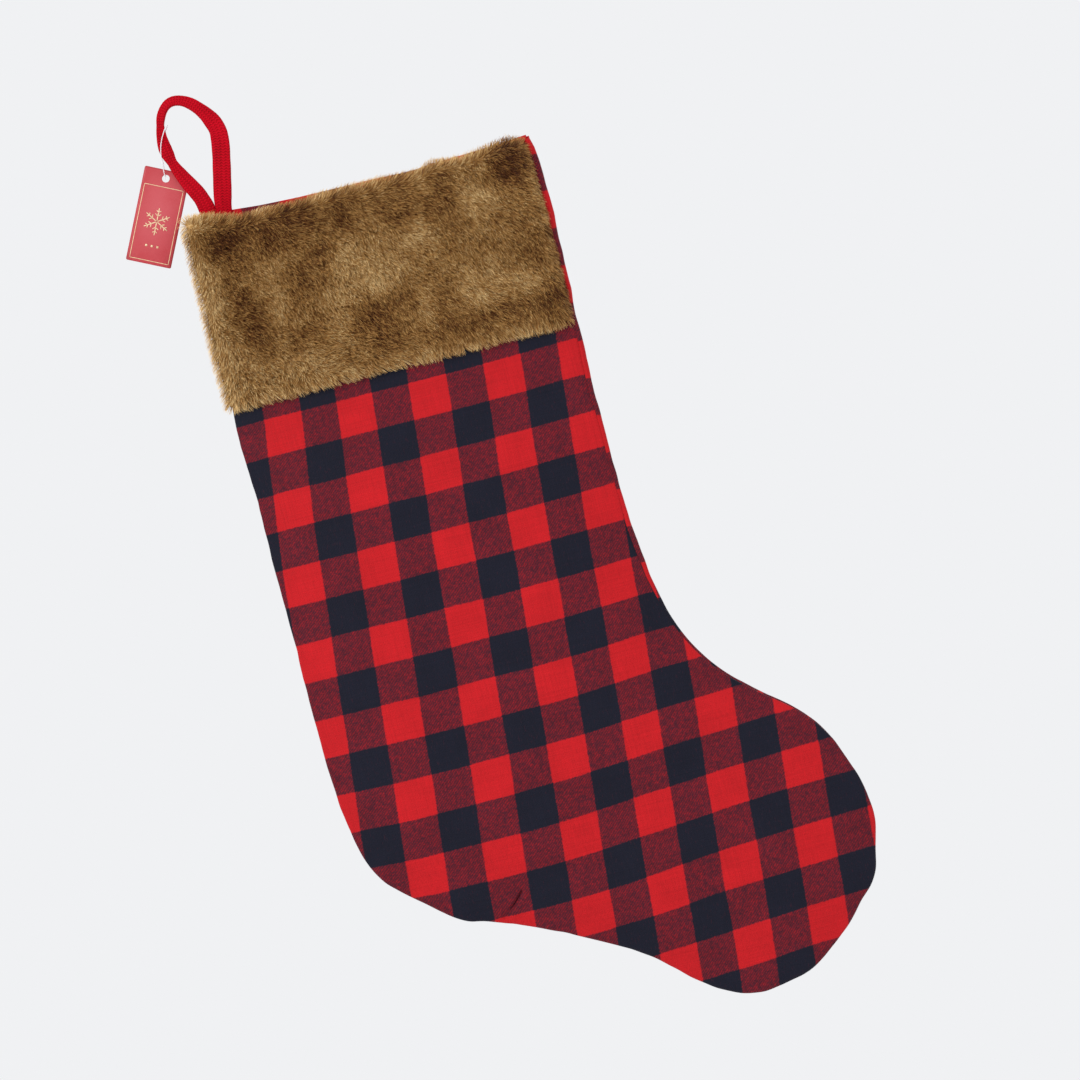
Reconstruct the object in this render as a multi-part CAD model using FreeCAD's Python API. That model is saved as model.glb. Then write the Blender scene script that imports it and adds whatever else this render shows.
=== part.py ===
import FreeCAD, Part
import math
import os

# A hanging stocking, cut and sewn: a front and a back panel of checked flannel, a faux-fur cuff
# across the top of the front, a hanging loop of knitted tape, and a card tag on a nylon pin.
# Frame: millimetres, +Z up as it hangs, +X towards the toe, the front faces -Y. The origin is the
# top of the loop's inside, where it sits on a hook, in the middle of the tape's thickness.

os.makedirs("parts", exist_ok=True)
V = FreeCAD.Vector

# ---------------------------------------------------------------- driving dimensions
CORNER_X = -9.8          # the stocking's top left corner, from the hook point
CORNER_Z = -59.2
SEAM_Y = -1.5            # the plane where the front and the back panel meet

CLOTH = 1.2              # thickness of the flannel
FRONT_DEPTH = 8.0        # how far each panel stands out from the seam plane
BACK_DEPTH = 5.0
FRONT_ROUND = 5.5        # rounding of the panels along their edges
BACK_ROUND = 3.5
OVER_MOUTH = 30.0        # the panels are made this much too long and trimmed at the mouth

MOUTH_WIDTH = 186.0      # the mouth's edge falls by MOUTH_FALL from left to right
MOUTH_FALL = 3.0

# Corners of the stocking's flat outline, from the mouth's left corner (right, up): down the back
# of the leg, round the heel, along the sole, round the toe and up the instep. Each is rounded.
OUTLINE = [
    (0.0, 0.0), (0.0, -298.0), (8.6, -345.0), (14.2, -360.0), (27.5, -371.5), (47.0, -386.0),
    (80.0, -399.5), (112.0, -414.5), (140.0, -434.0), (166.0, -457.5), (188.0, -467.0),
    (227.0, -458.0), (253.5, -434.5), (268.0, -411.0), (272.6, -386.0), (262.5, -349.0),
    (243.0, -323.5), (213.0, -299.0), (196.0, -268.0), (188.6, -231.0), (184.4, -190.0),
    (184.0, -100.0), (MOUTH_WIDTH, -MOUTH_FALL),
]
BEND_SHARE = 0.45        # a bend starts this share of the shorter run before its corner

CUFF_HEIGHT = 100.0      # from the mouth's left corner down to the seam under the pile
PILE_LENGTH = 7.0        # the pile stands this far out from the backing
PILE_OVER_SIDE = 2.0     # and this far over the left edge
PILE_OVER_BOTTOM = 3.0   # and over the seam below
PILE_ROUND = 5.0
PILE_START = 1.0         # the pile starts this far in front of the seam plane
WRAP_WIDTH = 5.0         # the back panel comes round to the front by this much at the mouth

HEM_HEIGHT = 15.0
HEM_CLOTH = 1.05
HEM_LINE = 12.0          # the hem's stitching, from the mouth's edge
THREAD = 0.5
THREAD_FROM_EDGE = 0.35
THREAD_END = 2.0         # the seams' threads stop this far from the cloth's corners

TAPE_WIDTH = 7.0
TAPE_THICK = 2.5
LOOP_GAP = 2.5           # the loop starts this far above the mouth's edge
TAIL_TOP = -0.5
TAIL_BOTTOM = -12.0
TACK_HEIGHT = 2.4
TACK_Z = -7.0
TACK_PROUD = 0.35
TACK_STITCHES = 7        # stitches of the bar tack that go through to the back panel

# The tape's centre line, from its right end up and round to its left end
TAPE_ROUTE = [
    (20.8, 0.0), (25.0, 14.6), (28.6, 30.0), (28.4, 43.0), (23.8, 53.6), (16.0, 61.6),
    (7.4, 63.4), (0.9, 56.6), (-1.2, 44.5), (0.6, 32.5), (6.0, 20.5), (11.0, 10.2), (12.4, 0.0),
]

FILAMENT = 0.35          # radius of the pin's nylon filament
PIN_TOP = (5.5, 51.0)    # where the pin goes round the left strand's inner edge
PIN_BEND = (-3.4, 39.5)  # where it bends down along the strand's outer edge
PIN_FRONT = -1.9         # the pin's two runs, in front of the tape and behind the card
PIN_BACK = 2.6
LOCK_FROM_TOP = 6.0      # the lock head sits on the back run, behind the tape
LOCK_LENGTH = 4.5
LOCK_RADIUS = 1.5
LOCK_Y = 3.7
LOCK_ROUND = 0.5

TAG_WIDTH = 24.0
TAG_LENGTH = 50.0
TAG_THICK = 0.5
TAG_FRONT = 1.45         # the card's front face lies just behind the tape
TAG_LEAN = 26.4          # degrees, its lower end to the left
TAG_HOLE = (-4.2, 24.7)
TAG_HOLE_RADIUS = 2.05
HOLE_FROM_TOP = 4.5
TAG_CORNER = 0.8
HOLE_SLACK = 0.45        # the pin's lowest point, below the middle of the card's hole

FAR = 600.0              # more than the whole object, for blocks that only cut


# ---------------------------------------------------------------- helpers
def at(right, up, y=SEAM_Y):
    """A point given from the stocking's top left corner."""
    return V(CORNER_X + right, y, CORNER_Z + up)


def prism(points, y0, y1):
    """A straight-sided block on a polygon in the stocking's plane."""
    corners = [at(right, up, y0) for right, up in points]
    return Part.Face(Part.makePolygon(corners + corners[:1])).extrude(V(0, y1 - y0, 0))


def mouth_up(right):
    """Height of the mouth's edge."""
    return -MOUTH_FALL * right / MOUTH_WIDTH


def rounded(points, name):
    """Straight runs between the points, joined by tangent arcs, whose radii it prints."""
    start, edges, radii = points[0], [], []
    for before, corner, after in zip(points, points[1:], points[2:]):
        back, ahead = before - corner, after - corner
        reach = BEND_SHARE * min(back.Length, ahead.Length)
        half_turn = (math.pi - back.getAngle(ahead)) / 2
        radii.append(reach / math.tan(half_turn))
        back.normalize()
        ahead.normalize()
        inward = back + ahead
        inward.normalize()
        near, far = corner + back * reach, corner + ahead * reach
        middle = corner + inward * radii[-1] * (1 / math.cos(half_turn) - 1)
        edges += [Part.LineSegment(start, near).toShape(), Part.Arc(near, middle, far).toShape()]
        start = far
    edges.append(Part.LineSegment(start, points[-1]).toShape())
    print(name, "radii", " ".join("%.1f" % r for r in radii))
    return Part.Wire(edges)


def outline():
    """The stocking's flat outline, too long at the mouth."""
    lean = (MOUTH_WIDTH - OUTLINE[-2][0]) / (CUFF_HEIGHT - MOUTH_FALL)
    top_right = (MOUTH_WIDTH + lean * (MOUTH_FALL + OVER_MOUTH), OVER_MOUTH)
    points = [at(0, OVER_MOUTH)] + [at(*p) for p in OUTLINE[1:-1]] + [at(*top_right)]
    side = rounded(points, "outline")
    return Part.Wire(side.Edges + [Part.LineSegment(points[-1], points[0]).toShape()])


def pillow(wire, depth, rounding):
    """The outline raised by depth along Y, with its far edge rounded."""
    block = Part.Face(wire).extrude(V(0, depth, 0))
    far = SEAM_Y + depth
    rim = [e for e in block.Edges if all(abs(v.Y - far) < 1e-6 for v in e.Vertexes)]
    return block.makeFillet(rounding, rim)


def save(shape, name):
    """One STEP file for one named piece."""
    solids = shape.Solids
    if len(solids) == 1:
        shape = solids[0]
    else:
        shape = Part.makeCompound(solids)
    shape.exportStep("parts/" + name + ".step")
    box = shape.optimalBoundingBox(True, False)
    print("%-18s solids %3d  volume %10.1f  valid %s  x %.1f %.1f  y %.1f %.1f  z %.1f %.1f" % (
        name, len(solids), shape.Volume, shape.isValid(),
        box.XMin, box.XMax, box.YMin, box.YMax, box.ZMin, box.ZMax))


def shell(wire, inner_wire, depth, rounding):
    """The raised outline, its hollow, and the cloth-thick tray between them."""
    side = math.copysign(1.0, depth)
    outer = pillow(wire, depth, rounding)
    inner = pillow(inner_wire, depth - side * CLOTH, rounding - CLOTH)
    return outer, inner, outer.cut(inner)


def below_mouth(drop):
    """A line across the cloth, parallel to the mouth's edge and this far below it."""
    return [(-FAR, mouth_up(-FAR) - drop), (FAR, mouth_up(FAR) - drop)]


def sweep(path, section):
    """A solid along a path. The section starts on the path's first point."""
    return path.makePipeShell([section], True, False)


# ---------------------------------------------------------------- panels and cuff
def make_panels():
    """The front panel, the back panel with its hem and wrapped edge, and the fur cuff."""
    edge = outline()
    inner_edge = edge.makeOffset2D(-CLOTH)
    front_outer, _, front = shell(edge, inner_edge, -FRONT_DEPTH, FRONT_ROUND)
    _, back_inner, back = shell(edge, inner_edge, BACK_DEPTH, BACK_ROUND)

    seam_foot = (OUTLINE[-2][0], -CUFF_HEIGHT)
    seam_head = (MOUTH_WIDTH - WRAP_WIDTH, OVER_MOUTH)
    left, right = -FAR, FAR
    cuff_zone = prism([(left, -CUFF_HEIGHT), seam_foot, seam_head, (left, OVER_MOUTH)], -FAR, FAR)
    wrap_zone = prism([seam_foot, (right, -CUFF_HEIGHT), (right, OVER_MOUTH), seam_head], -FAR, FAR)
    over_mouth = prism(below_mouth(0) + [(FAR, FAR), (-FAR, FAR)], -FAR, FAR)

    front_panel = front.cut(cuff_zone).cut(wrap_zone)
    backing = front.common(cuff_zone)
    wrap = front.common(wrap_zone)

    pile_front = SEAM_Y - FRONT_DEPTH - PILE_LENGTH
    foot = -CUFF_HEIGHT - PILE_OVER_BOTTOM
    pile = prism(
        [(-PILE_OVER_SIDE, foot), (seam_foot[0], foot), seam_foot, seam_head,
         (-PILE_OVER_SIDE, OVER_MOUTH)], pile_front, SEAM_Y - PILE_START)
    rim = [e for e in pile.Edges if all(abs(v.Y - pile_front) < 1e-6 for v in e.Vertexes)]
    pile = pile.makeFillet(PILE_ROUND, rim).cut(front_outer)
    fur_cuff = backing.fuse(pile).cut(over_mouth)

    hem_front = SEAM_Y + BACK_DEPTH - CLOTH - HEM_CLOTH
    hem_band = prism(below_mouth(0) + below_mouth(HEM_HEIGHT)[::-1], hem_front, FAR)
    hem = back_inner.common(hem_band)
    back_panel = back.fuse(wrap).fuse(hem).cut(over_mouth)
    return edge, front_panel, back_panel, fur_cuff


def make_side_thread(edge):
    """The seam's thread, from the mouth's left corner round to the foot of the cuff."""
    outer = Part.Face(edge.makeOffset2D(-THREAD_FROM_EDGE))
    inner = Part.Face(edge.makeOffset2D(-THREAD_FROM_EDGE - THREAD))
    band = outer.cut(inner).extrude(V(0, THREAD, 0))
    near_mouth = prism(below_mouth(THREAD_END) + [(FAR, FAR), (-FAR, FAR)], -FAR, FAR)
    middle = MOUTH_WIDTH / 2
    beside_cuff = prism([(middle, -CUFF_HEIGHT - THREAD_END), (FAR, -CUFF_HEIGHT - THREAD_END),
                         (FAR, FAR), (middle, FAR)], -FAR, FAR)
    return band.cut(near_mouth).cut(beside_cuff)


def make_cuff_thread():
    """The thread of the seam between the cuff and the front panel, inside the cloth."""
    left, right = FRONT_ROUND + THREAD_END, OUTLINE[-2][0] - FRONT_ROUND - THREAD_END
    low, high = -CUFF_HEIGHT - THREAD / 2, -CUFF_HEIGHT + THREAD / 2
    face = SEAM_Y - FRONT_DEPTH + THREAD_FROM_EDGE
    return prism([(left, low), (right, low), (right, high), (left, high)], face, face + THREAD)


def make_hem_thread():
    """The hem's line of stitching, standing a little proud on the outside of the back panel."""
    left, right = BACK_ROUND + THREAD_END, MOUTH_WIDTH - BACK_ROUND - THREAD_END
    line = [(x, mouth_up(x) - HEM_LINE) for x in (left, right)]
    top = [(x, up + THREAD) for x, up in line[::-1]]
    face = SEAM_Y + BACK_DEPTH + THREAD / 5
    return prism(line + top, face - THREAD, face)


# ---------------------------------------------------------------- hanging loop
def make_loop():
    """The knitted tape's loop, cut off clear of the mouth where it bends."""
    route = [at(right, up, 0) for right, up in TAPE_ROUTE]
    path = rounded(route, "tape")
    ahead = route[1] - route[0]
    ahead.normalize()
    across = V(ahead.z, 0, -ahead.x) * (TAPE_WIDTH / 2)
    thick = V(0, TAPE_THICK / 2, 0)
    corners = [route[0] - across - thick, route[0] + across - thick,
               route[0] + across + thick, route[0] - across + thick]
    tape = sweep(path, Part.makePolygon(corners + corners[:1]))
    print("tape length %.1f  volume %.1f, section times length %.1f" % (
        path.Length, tape.Volume, path.Length * TAPE_WIDTH * TAPE_THICK))
    base = prism([(-FAR, -FAR), (FAR, -FAR), (FAR, LOOP_GAP), (-FAR, LOOP_GAP)], -FAR, FAR)
    return tape.cut(base)


def make_tails():
    """The tape's two ends inside the mouth, side by side against the hem."""
    tails = []
    for middle, _ in (TAPE_ROUTE[0], TAPE_ROUTE[-1]):
        left, right = middle - TAPE_WIDTH / 2, middle + TAPE_WIDTH / 2
        tails.append(prism([(left, TAIL_BOTTOM), (right, TAIL_BOTTOM), (right, TAIL_TOP),
                            (left, TAIL_TOP)], -TAPE_THICK / 2, TAPE_THICK / 2))
    return tails[0].fuse(tails[1])


def make_tack():
    """The bar tack: a satin bar across both ends, with stitches through to the back panel."""
    left = TAPE_ROUTE[-1][0] - TAPE_WIDTH / 2 + THREAD
    right = TAPE_ROUTE[0][0] + TAPE_WIDTH / 2 - THREAD
    low, high = TACK_Z - TACK_HEIGHT / 2, TACK_Z + TACK_HEIGHT / 2
    face = -TAPE_THICK / 2
    back = SEAM_Y + BACK_DEPTH - CLOTH / 2
    bar = prism([(left, low), (right, low), (right, high), (left, high)], face - TACK_PROUD, face)
    step = (right - left - THREAD) / (TACK_STITCHES - 1)
    stitches = []
    for i in range(TACK_STITCHES):
        x = left + i * step
        stitches.append(prism([(x, TACK_Z), (x + THREAD, TACK_Z), (x + THREAD, TACK_Z + THREAD),
                               (x, TACK_Z + THREAD)], face, back))
    return bar.multiFuse(stitches)


# ---------------------------------------------------------------- pin and tag
def make_pin():
    """The nylon filament: a closed loop round the tape and through the card's hole."""
    low = (TAG_HOLE[0], TAG_HOLE[1] - HOLE_SLACK)
    middle, reach = (PIN_FRONT + PIN_BACK) / 2, (PIN_BACK - PIN_FRONT) / 2
    top, bend, foot = at(*PIN_TOP, y=middle), at(*PIN_BEND, y=middle), at(*low, y=middle)
    first, last = bend - top, foot - bend
    first.normalize()
    last.normalize()
    side = V(0, reach, 0)
    upper, lower = top + first * reach, foot - last * reach
    run = rounded([upper, bend, lower], "pin")
    back_run, front_run = run.translated(side), run.translated(-side)
    ends = [Part.Arc(upper + side, top, upper - side), Part.Arc(lower + side, foot, lower - side)]
    pieces = []
    for edge in back_run.Edges + front_run.Edges + [arc.toShape() for arc in ends]:
        start, way = edge.valueAt(edge.FirstParameter), edge.tangentAt(edge.FirstParameter)
        ring = Part.Wire(Part.Circle(start, way, FILAMENT).toShape())
        pieces.append(sweep(Part.Wire(edge), ring))
    filament = pieces[0].multiFuse(pieces[1:]).removeSplitter()
    lock_start = top + first * LOCK_FROM_TOP
    lock_start.y = LOCK_Y
    lock = Part.makeCylinder(LOCK_RADIUS, LOCK_LENGTH, lock_start, first)
    rims = [e for e in lock.Edges if isinstance(e.Curve, Part.Circle)]
    lock = lock.makeFillet(LOCK_ROUND, rims).cut(filament)
    return filament, lock


def make_tag():
    """The card, hanging from its hole with its lower end to the left."""
    lean = math.radians(TAG_LEAN)
    across, down = (math.cos(lean), -math.sin(lean)), (-math.sin(lean), -math.cos(lean))

    def place(right, below):
        return (TAG_HOLE[0] + across[0] * right + down[0] * below,
                TAG_HOLE[1] + across[1] * right + down[1] * below)

    half, top, foot = TAG_WIDTH / 2, -HOLE_FROM_TOP, TAG_LENGTH - HOLE_FROM_TOP
    corners = [place(-half, top), place(half, top), place(half, foot), place(-half, foot)]
    card = prism(corners, TAG_FRONT, TAG_FRONT + TAG_THICK)
    upright = [e for e in card.Edges if abs(e.Length - TAG_THICK) < 1e-6]
    card = card.makeFillet(TAG_CORNER, upright)
    hole = Part.makeCylinder(TAG_HOLE_RADIUS, 4, at(*TAG_HOLE, y=TAG_FRONT - 1), V(0, 1, 0))
    return card.cut(hole)


# ---------------------------------------------------------------- the pieces
edge, front_panel, back_panel, fur_cuff = make_panels()
side_thread, cuff_thread, hem_thread = make_side_thread(edge), make_cuff_thread(), make_hem_thread()
tails, tack = make_tails(), make_tack()
tag_pin, pin_lock = make_pin()

save(front_panel.cut(cuff_thread), "front_panel")
save(back_panel.cut(side_thread).cut(hem_thread).cut(tack), "back_panel")
save(fur_cuff.cut(cuff_thread), "fur_cuff")
save(side_thread, "side_seam_thread")
save(cuff_thread, "cuff_seam_thread")
save(hem_thread, "hem_thread")
save(make_loop(), "hanging_loop")
save(tails.cut(tack), "loop_tails")
save(tack, "loop_tack")
save(tag_pin, "tag_pin")
save(pin_lock, "pin_lock")
save(make_tag(), "hang_tag")
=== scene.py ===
import math

import bmesh
import bpy
import numpy as np
from mathutils import Matrix, Vector
from mathutils.geometry import delaunay_2d_cdt
from mathutils.kdtree import KDTree


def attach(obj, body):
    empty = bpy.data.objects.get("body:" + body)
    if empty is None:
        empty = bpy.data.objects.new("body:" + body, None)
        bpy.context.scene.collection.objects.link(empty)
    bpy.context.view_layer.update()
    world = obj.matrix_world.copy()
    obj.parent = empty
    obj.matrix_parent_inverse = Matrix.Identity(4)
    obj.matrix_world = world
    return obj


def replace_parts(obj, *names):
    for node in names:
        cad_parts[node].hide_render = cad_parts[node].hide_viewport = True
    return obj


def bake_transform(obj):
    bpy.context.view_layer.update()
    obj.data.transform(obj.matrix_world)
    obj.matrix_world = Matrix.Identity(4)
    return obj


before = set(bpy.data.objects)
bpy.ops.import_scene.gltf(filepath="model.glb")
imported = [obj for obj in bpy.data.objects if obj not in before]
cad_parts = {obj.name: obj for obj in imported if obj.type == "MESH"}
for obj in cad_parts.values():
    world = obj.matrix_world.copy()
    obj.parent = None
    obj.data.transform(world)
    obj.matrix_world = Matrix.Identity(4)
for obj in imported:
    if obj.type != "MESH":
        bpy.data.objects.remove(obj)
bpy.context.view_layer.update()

# A hanging stocking of checked flannel with a faux-fur cuff, a knitted loop and a card tag.
# Shapes are worked out in "cloth" millimetres: right and up from the stocking's top left corner,
# and y, the row frame's depth. row() turns them into the row frame's metres.
MM = 0.001
CORNER_X, CORNER_Z, SEAM_Y = -9.8, -59.2, -1.5
random = np.random.default_rng(7)

# The side seam's outline, from the mouth's left corner round to its right one. It follows the
# CAD's to within about 3 mm, with the unevenness of soft cloth.
OUTLINE = [
    (0, 0), (-0.5, -298), (5.2, -343), (13.2, -358.8), (20.5, -365.6), (38.6, -381.9),
    (50, -390.9), (61, -392.8), (82, -400.9), (112, -414.9), (139.4, -431), (162.4, -453.4),
    (184, -465.6), (204, -463.4), (218.5, -460.3), (231.1, -452.5), (243.5, -442.6),
    (253.5, -431.2), (264.8, -420.4), (267.6, -405), (272.6, -388), (267.6, -363.5),
    (254.2, -331.2), (212.6, -298.6), (194.4, -268), (187.6, -231), (184.8, -190), (184.4, -100),
    (186, -3),
]
CUFF_FOOT = -100.0
MOUTH = 187.0            # the mouth's width

# ---- camera and light
scene = bpy.context.scene
scene.view_settings.view_transform = "Standard"

TILT = math.radians(14.5)
CENTRE = Vector((0.1281, 0, -0.2664))
FRAME_WIDTH, LENS, SENSOR = 0.564, 85.0, 36.0


def make_camera():
    data = bpy.data.cameras.new("camera")
    data.lens, data.sensor_width = LENS, SENSOR
    camera = bpy.data.objects.new("camera", data)
    scene.collection.objects.link(camera)
    right = Vector((math.cos(TILT), 0, -math.sin(TILT)))
    up = Vector((math.sin(TILT), 0, math.cos(TILT)))
    place = CENTRE - Vector((0, FRAME_WIDTH * LENS / SENSOR, 0))
    turn = Matrix((right, up, right.cross(up))).transposed().to_4x4()
    camera.matrix_world = Matrix.Translation(place) @ turn
    scene.camera = camera


def make_light(name, place, size, watts):
    data = bpy.data.lights.new(name, "AREA")
    data.shape, data.size, data.energy = "SQUARE", size, watts
    light = bpy.data.objects.new(name, data)
    light.location = place
    light.rotation_euler = (CENTRE - Vector(place)).to_track_quat("-Z", "Y").to_euler()
    light.visible_camera = False
    scene.collection.objects.link(light)


make_camera()
make_light("key", (-1.1, -1.7, 0.9), 1.3, 30)
make_light("fill", (1.6, -1.5, 0.2), 1.6, 6)
make_light("rear", (1.0, 1.9, 0.7), 1.6, 16)

world = bpy.data.worlds.new("world")
world.use_nodes = True
world.node_tree.nodes["Background"].inputs["Color"].default_value = (0.872, 0.88, 0.897, 1)
scene.world = world


# ---- small helpers
def cols(*parts):
    """Columns side by side."""
    return np.column_stack(parts)


def row(points):
    """Cloth millimetres (right, up, y) as points of the row frame."""
    p = np.asarray(points, float).reshape(-1, 3)
    return cols(p[:, 0] + CORNER_X, p[:, 2], p[:, 1] + CORNER_Z) * MM


def wander(x, y, wave, seed):
    """Smooth noise from -1 to 1 with waves about this many millimetres long."""
    x, y = np.asarray(x, float) / wave, np.asarray(y, float) / wave
    i, j = np.floor(x), np.floor(y)
    a, b = x - i, y - j
    a, b = a * a * (3 - 2 * a), b * b * (3 - 2 * b)

    def corner(p, q):
        h = np.sin(p * 127.1 + q * 311.7 + seed * 74.7) * 43758.5453
        return (h - np.floor(h)) * 2 - 1

    low = corner(i, j) * (1 - a) + corner(i + 1, j) * a
    high = corner(i, j + 1) * (1 - a) + corner(i + 1, j + 1) * a
    return low * (1 - b) + high * b


def waves(x, y, *layers):
    """Layers of smooth noise added up, each with its (height, wave, seed)."""
    return sum(high * wander(x, y, wave, seed) for high, wave, seed in layers)


def make(name, points, faces, material, slot, body="stocking", uv=None, raw=False):
    """A mesh piece from cloth millimetres, or from metres if raw. uv is (layer, pair per point)."""
    data = bpy.data.meshes.new(name)
    data.from_pydata((points if raw else row(points)).tolist(), [], faces)
    data.materials.append(material)
    if uv:
        layer = data.uv_layers.new(name=uv[0])
        index = np.zeros(len(data.loops), np.int32)
        data.loops.foreach_get("vertex_index", index)
        layer.data.foreach_set("uv", np.asarray(uv[1], np.float32)[index].ravel())
    data.polygons.foreach_set("use_smooth", [True] * len(data.polygons))
    piece = bpy.data.objects.new(name, data)
    scene.collection.objects.link(piece)
    if body:
        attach(piece, body)
    return piece


def grid_faces(rows, columns, close=False, start=0):
    """Quads of a grid stored row by row. close joins the last column to the first."""
    faces = []
    for i in range(rows - 1):
        here = start + i * columns
        for j in range(columns if close else columns - 1):
            k = (j + 1) % columns
            faces.append((here + j, here + k, here + columns + k, here + columns + j))
    return faces


def end_faces(count, around):
    """The two end faces of a tube that has this many points."""
    return [tuple(range(around))[::-1], tuple(range(count - around, count))]


def faced(points, faces, towards):
    """The faces, turned over if most of them look away from that way along y."""
    p = np.asarray(points, float)
    total = sum(np.cross(p[f[1]] - p[f[0]], p[f[2]] - p[f[0]])[2] for f in faces[::7])
    # cloth coordinates (right, up, y) are a left-handed copy of the row frame
    turn = -1 if total * towards > 0 else 1
    return [tuple(f[::turn]) for f in faces]


def lattice(low, high, gap):
    """Points of a hexagonal lattice over a box."""
    rows = []
    for i, up in enumerate(np.arange(low[1], high[1], gap * 0.866)):
        right = np.arange(low[0] + (i % 2) * gap / 2, high[0], gap)
        rows.append(cols(right, np.full(len(right), up)))
    return np.concatenate(rows)


def jittered(low, high, gap, share):
    """A lattice whose points are each moved by up to this share of the gap."""
    points = lattice(low, high, gap)
    return points + random.uniform(-share, share, points.shape) * gap


def tree_of(points):
    tree = KDTree(len(points))
    for number, point in enumerate(points):
        tree.insert((*point, 0), number)
    tree.balance()
    return tree


def nearest(tree, points):
    """The number of the tree's point nearest to each point (right, up)."""
    return np.array([tree.find((p[0], p[1], 0))[1] for p in points])


def unit(vectors):
    return vectors / np.linalg.norm(vectors, axis=1)[:, None]


# ---- materials
class Nodes:
    """A material's node tree, written as short calls. Each call returns an output socket."""

    def __init__(self, name):
        self.material = bpy.data.materials.new(name)
        self.material.use_nodes = True
        self.tree = self.material.node_tree
        self.shader = self.tree.nodes["Principled BSDF"]

    def add(self, kind, inputs=(), out=0, **settings):
        node = self.tree.nodes.new(kind)
        for key, value in settings.items():
            setattr(node, key, value)
        for key, value in dict(inputs).items():
            self.set(node.inputs[key], value)
        return node.outputs[out]

    def set(self, socket, value):
        if isinstance(value, bpy.types.NodeSocket):
            self.tree.links.new(value, socket)
        elif hasattr(socket.default_value, "__len__") and len(socket.default_value) == 4:
            socket.default_value = (*value, 1)
        else:
            socket.default_value = value

    def math(self, operation, *values):
        return self.add("ShaderNodeMath", enumerate(values), operation=operation)

    def times(self, a, b):
        return self.math("MULTIPLY", a, b)

    def plus(self, a, b):
        return self.math("ADD", a, b)

    def less(self, a, b):
        return self.math("SUBTRACT", a, b)

    def scaled(self, value, by, base):
        return self.math("MULTIPLY_ADD", value, by, base)

    def swing(self, noise, amount, base):
        """The base, moved by the noise about its middle."""
        return self.scaled(self.less(noise, 0.5), amount, base)

    def axis(self, vector, number):
        return self.add("ShaderNodeSeparateXYZ", {0: vector}, out=number)

    def place(self):
        """The object's own coordinates, in metres."""
        return self.add("ShaderNodeTexCoord", out=3)

    def mix(self, share, a, b, blend="MIX"):
        return self.add("ShaderNodeMix", {0: share, 6: a, 7: b}, out=2, data_type="RGBA",
                        blend_type=blend)

    def noise(self, vector, scale, detail=2.0, out=0):
        return self.add("ShaderNodeTexNoise",
                        {"Vector": vector, "Scale": scale, "Detail": detail}, out=out)

    def grain(self, vector, scale, detail):
        """Noise with a scale of its own along each axis."""
        vector = self.add("ShaderNodeMapping", {"Vector": vector, "Scale": scale})
        return self.noise(vector, 1.0, detail)

    def ramp(self, share, *stops):
        node = self.tree.nodes.new("ShaderNodeValToRGB")
        elements = node.color_ramp.elements
        while len(elements) < len(stops):
            elements.new(0.5)
        for element, (position, colour) in zip(elements, stops):
            element.position = position
            element.color = (*colour, 1)
        self.set(node.inputs[0], share)
        return node.outputs[0]

    def steps(self, value, *stops):
        """Straight lines between (place, value) stops."""
        first, last = stops[0][0], stops[-1][0]
        least = min(v for _, v in stops)
        span = max(v for _, v in stops) - least
        levels = [((p - first) / (last - first), ((v - least) / span,) * 3) for p, v in stops]
        return self.scaled(self.ramp(self.between(value, first, last), *levels), span, least)

    def between(self, value, low, high):
        """0 below low, 1 above high."""
        return self.add("ShaderNodeMapRange", {0: value, 1: low, 2: high, 3: 0.0, 4: 1.0})

    def bump(self, height, strength, distance):
        return self.add("ShaderNodeBump", {"Height": height, "Strength": strength,
                                           "Distance": distance})

    def finish(self, colour, roughness, **inputs):
        inputs.update(Base_Color=colour, Roughness=roughness)
        for key, value in inputs.items():
            self.set(self.shader.inputs[key.replace("_", " ")], value)
        return self.material


RED = (0.42, 0.0085, 0.012)
NAVY = (0.0072, 0.0080, 0.0160)
BAND = 20.0              # width of the check's bands, in millimetres
SOFT_EDGE = 0.3          # their edges fade over this much to each side
YARN = 0.42
STRAY = 1.6              # how far the bands wander
FUZZ = 1.2               # how ragged their edges are


def pull(n, right, down):
    """How far the front's bands are drawn out of line, to the right and down, in millimetres."""
    columns = n.steps(right, (0, -0.6), (35, 0.2), (55, 0.6), (75, 1.6), (115, 2.5), (150, 2.9),
                      (185, 2.2), (225, 2.5), (260, 3.2))
    columns = n.swing(columns, n.between(down, 190.0, 300.0), 0.5)
    columns = n.plus(columns, n.steps(down, (370, 0), (450, 1.4)))
    corner = n.times(n.steps(down, (112, 2.4), (175, 0)), n.between(right, 75.0, 35.0))
    columns = n.plus(columns, corner)
    leg = n.steps(right, (0, 0), (120, 0.4), (150, -0.1), (185, -1.1))
    sole = n.steps(right, (10, 1.6), (40, 3), (70, 3.2), (90, 3), (120, 2.4), (140, 1.2),
                   (160, -0.4), (175, -1.8), (200, -3.4), (225, -4.6), (260, -5.4))
    rows = n.scaled(n.less(sole, leg), n.between(down, 235.0, 365.0), leg)
    rows = n.plus(rows, n.steps(down, (100, 2.2), (130, 1.3), (150, 0.7), (170, 0), (208, -0.3),
                                (240, 0), (370, 0), (450, 2.3)))
    return columns, rows


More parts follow.
